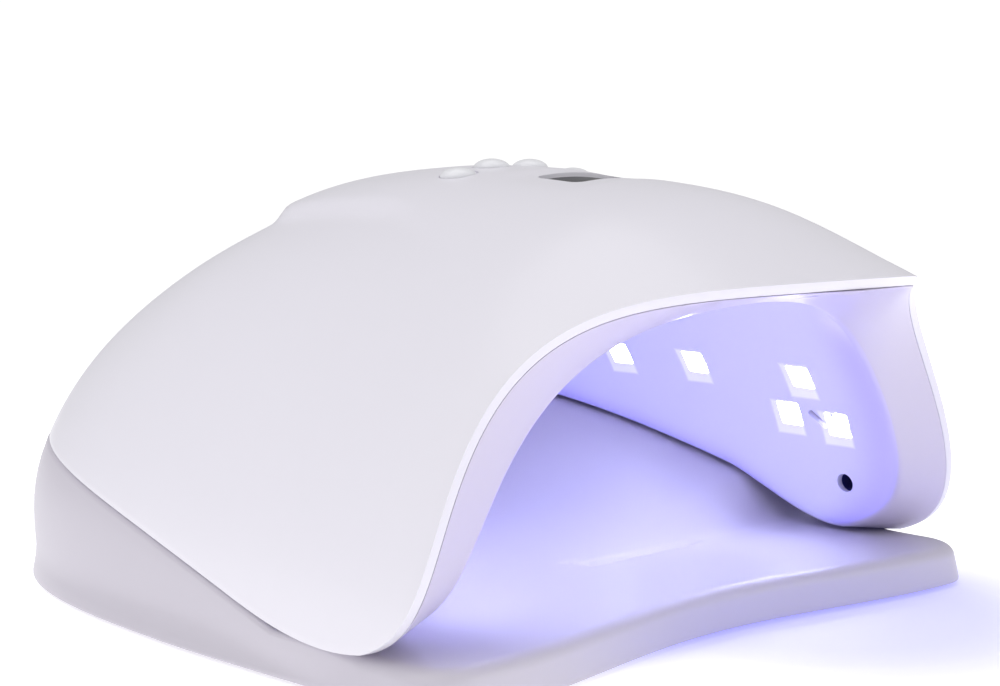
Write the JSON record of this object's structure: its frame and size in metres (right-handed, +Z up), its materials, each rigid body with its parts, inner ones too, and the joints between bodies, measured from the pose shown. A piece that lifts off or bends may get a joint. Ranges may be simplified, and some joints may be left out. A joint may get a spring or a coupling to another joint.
{
  "type": "uv led nail lamp",
  "caption": "Domed nail curing lamp: a lift-off arched head with lights in its cavity, stands on a dished base tray.",
  "frame": {"origin": "middle of the outer box on the surface the lamp stands on", "axes": "+Z up, +Y from the mouth to the rear, +X to the right seen from the mouth"},
  "size_m": [0.1822, 0.2184, 0.1007],
  "materials": {
    "casing": "satin gloss",
    "liner": "gloss",
    "tray": "satin gloss",
    "button": "satin gloss",
    "rubber": "matte",
    "magnet": "nickel plated",
    "screw": "zinc plated",
    "window": "dark tinted gloss",
    "display": "gloss",
    "board": "solder mask",
    "light_board": "white solder mask",
    "light_chip": "lens",
    "package": "moulded epoxy",
    "capacitor": "sleeved",
    "connector": "nylon",
    "sensor": "dark lens",
    "pin": "nickel plated",
    "lead": "insulation"
  },
  "bodies": {
    "base": {"base_tray": "tray", "base_feet": "rubber", "base_magnets": "magnet"},
    "head": {"top_shell": "casing", "inner_liner": "liner", "head_magnets": "magnet", "liner_screws": "screw", "board_screws": "screw", "display_window": "window", "display_module": "display", "control_board": "board", "led_board_left": "light_board", "led_board_right": "light_board", "led_board_top": "light_board", "led_chips_left": "light_chip", "led_chips_right": "light_chip", "led_chips_top": "light_chip", "control_chip": "package", "power_transistors": "package", "filter_choke": "package", "switch_bodies": "package", "power_socket": "package", "filter_capacitors": "capacitor", "lead_connectors": "connector", "infrared_receiver": "sensor", "infrared_emitter": "sensor", "power_socket_pin": "pin", "power_lead": "lead", "led_lead_left": "lead", "led_lead_right": "lead"},
    "button_1": {"timer_button_1": "button", "switch_plunger_1": "connector"},
    "button_2": {"timer_button_2": "button", "switch_plunger_2": "connector"},
    "button_3": {"timer_button_3": "button", "switch_plunger_3": "connector"},
    "button_4": {"timer_button_4": "button", "switch_plunger_4": "connector"}
  },
  "joints": [
    {"name": "head_lift", "type": "slide", "parent": "base", "child": "head", "axis": [0, 0, 1], "range_m": [0, 0.12]},
    {"name": "button_1_press", "type": "slide", "parent": "head", "child": "button_1", "axis": [0, 0, -1], "range_m": [0, 0.0005], "stiffness_N_per_m": 4000},
    {"name": "button_2_press", "type": "slide", "parent": "head", "child": "button_2", "axis": [0, 0, -1], "range_m": [0, 0.0005], "stiffness_N_per_m": 4000},
    {"name": "button_3_press", "type": "slide", "parent": "head", "child": "button_3", "axis": [0, 0, -1], "range_m": [0, 0.0005], "stiffness_N_per_m": 4000},
    {"name": "button_4_press", "type": "slide", "parent": "head", "child": "button_4", "axis": [0, 0, -1], "range_m": [0, 0.0005], "stiffness_N_per_m": 4000}
  ]
}
